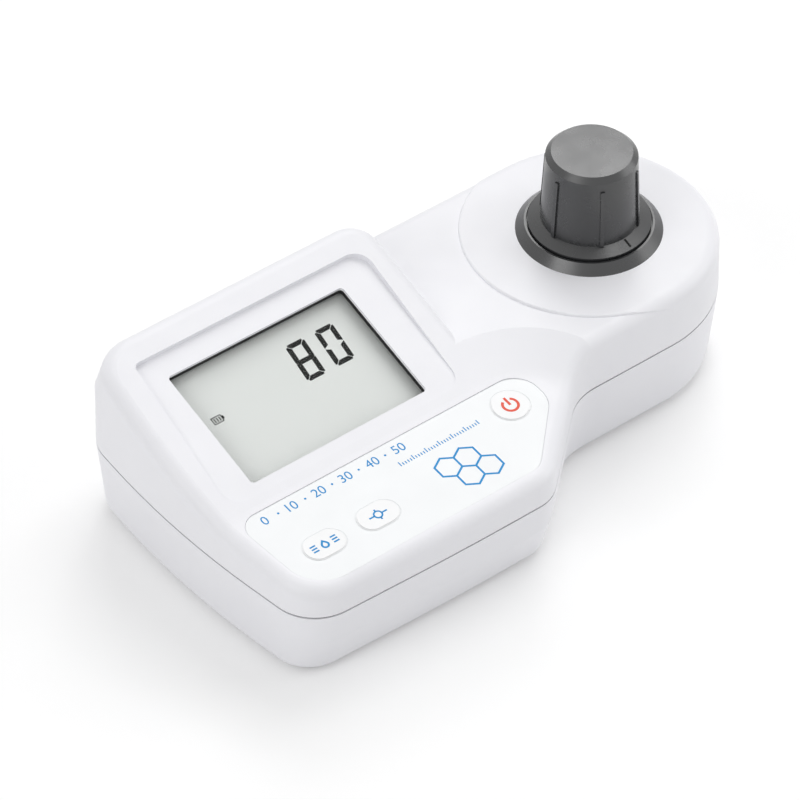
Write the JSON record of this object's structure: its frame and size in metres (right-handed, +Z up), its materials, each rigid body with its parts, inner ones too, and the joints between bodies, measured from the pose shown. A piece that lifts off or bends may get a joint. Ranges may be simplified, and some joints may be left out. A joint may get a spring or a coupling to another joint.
{
  "type": "portable photometer",
  "caption": "Portable bench photometer: two-shell case with sloping display head, low keypad, scooped neck and a round end holding a cuvette well under a ribbed light-tight cap.",
  "frame": {"origin": "under the middle of the case, on the surface that the feet stand on", "axes": "+X to the user's right along the case, +Y away from the user, +Z up"},
  "size_m": [0.194, 0.104, 0.074],
  "materials": {
    "housing": "fine matte moulded",
    "seal_rubber": "soft matte",
    "steel": "zinc plated",
    "foot_rubber": "soft matte",
    "window": "clear acrylic",
    "lcd": "reflective segment display",
    "frame_plastic": "moulded",
    "elastomer": "conductive strip",
    "circuit_board": "solder mask",
    "chip": "moulded epoxy",
    "board_parts": "mixed small parts",
    "overlay": "satin film",
    "keys": "satin",
    "ribbon": "flat cable",
    "optics_black": "matte black moulded",
    "spring_steel": "bright strip",
    "clear_optic": "clear",
    "lamp_lens": "clear epoxy",
    "filter": "tinted interference filter",
    "battery_shell": "plain wrapped can",
    "wire": "insulation",
    "cap": "satin moulded"
  },
  "bodies": {
    "instrument": {"upper_case": "housing", "lower_case": "housing", "case_gasket": "seal_rubber", "case_screws": "steel", "foot_front_left": "foot_rubber", "foot_front_right": "foot_rubber", "foot_back_left": "foot_rubber", "foot_back_right": "foot_rubber", "battery": "battery_shell", "battery_clip": "optics_black", "battery_leads": "wire", "display_window": "window", "window_gasket": "seal_rubber", "lcd_glass": "lcd", "lcd_frame": "frame_plastic", "contact_strips": "elastomer", "main_board": "circuit_board", "controller_chip": "chip", "board_parts": "board_parts", "main_board_screws": "steel", "keypad_overlay": "overlay", "keypad_board": "circuit_board", "switch_bodies": "chip", "keypad_board_screws": "steel", "ribbon_cable": "ribbon", "holder_ring": "cap", "holder_seal": "seal_rubber", "cuvette_holder": "optics_black", "holder_screws": "steel", "cuvette_spring": "spring_steel", "lamp_board": "circuit_board", "lamp": "lamp_lens", "lamp_bush": "optics_black", "lens": "clear_optic", "light_filter": "filter", "photodiode": "steel", "detector_board": "circuit_board", "optics_board_screws": "steel", "sensor_cables": "wire"},
    "cap": {"light_cap": "cap"},
    "power_button": {"power_key": "keys", "power_plunger": "chip"},
    "read_button": {"read_key": "keys", "read_plunger": "chip"},
    "calibration_button": {"calibration_key": "keys", "calibration_plunger": "chip"},
    "battery_door": {"battery_cover": "housing", "battery_cover_seal": "seal_rubber"}
  },
  "joints": [
    {"name": "cap_lift", "type": "slide", "parent": "instrument", "child": "cap", "axis": [0, 0, 1], "range_m": [0, 0.06]},
    {"name": "power_key_press", "type": "slide", "parent": "instrument", "child": "power_button", "axis": [0, 0.0872, -0.9962], "range_m": [0, 0.0004], "stiffness_N_per_m": 200, "springref_m": -0.0006},
    {"name": "read_key_press", "type": "slide", "parent": "instrument", "child": "read_button", "axis": [0, 0.0872, -0.9962], "range_m": [0, 0.0004], "stiffness_N_per_m": 200, "springref_m": -0.0006},
    {"name": "calibration_key_press", "type": "slide", "parent": "instrument", "child": "calibration_button", "axis": [0, 0.0872, -0.9962], "range_m": [0, 0.0004], "stiffness_N_per_m": 200, "springref_m": -0.0006},
    {"name": "battery_door_turn", "type": "hinge", "parent": "instrument", "child": "battery_door", "pos_m": [-0.0475, -0.0015, 0.0015], "axis": [0, 0, 1], "range_deg": [0, 30]}
  ]
}
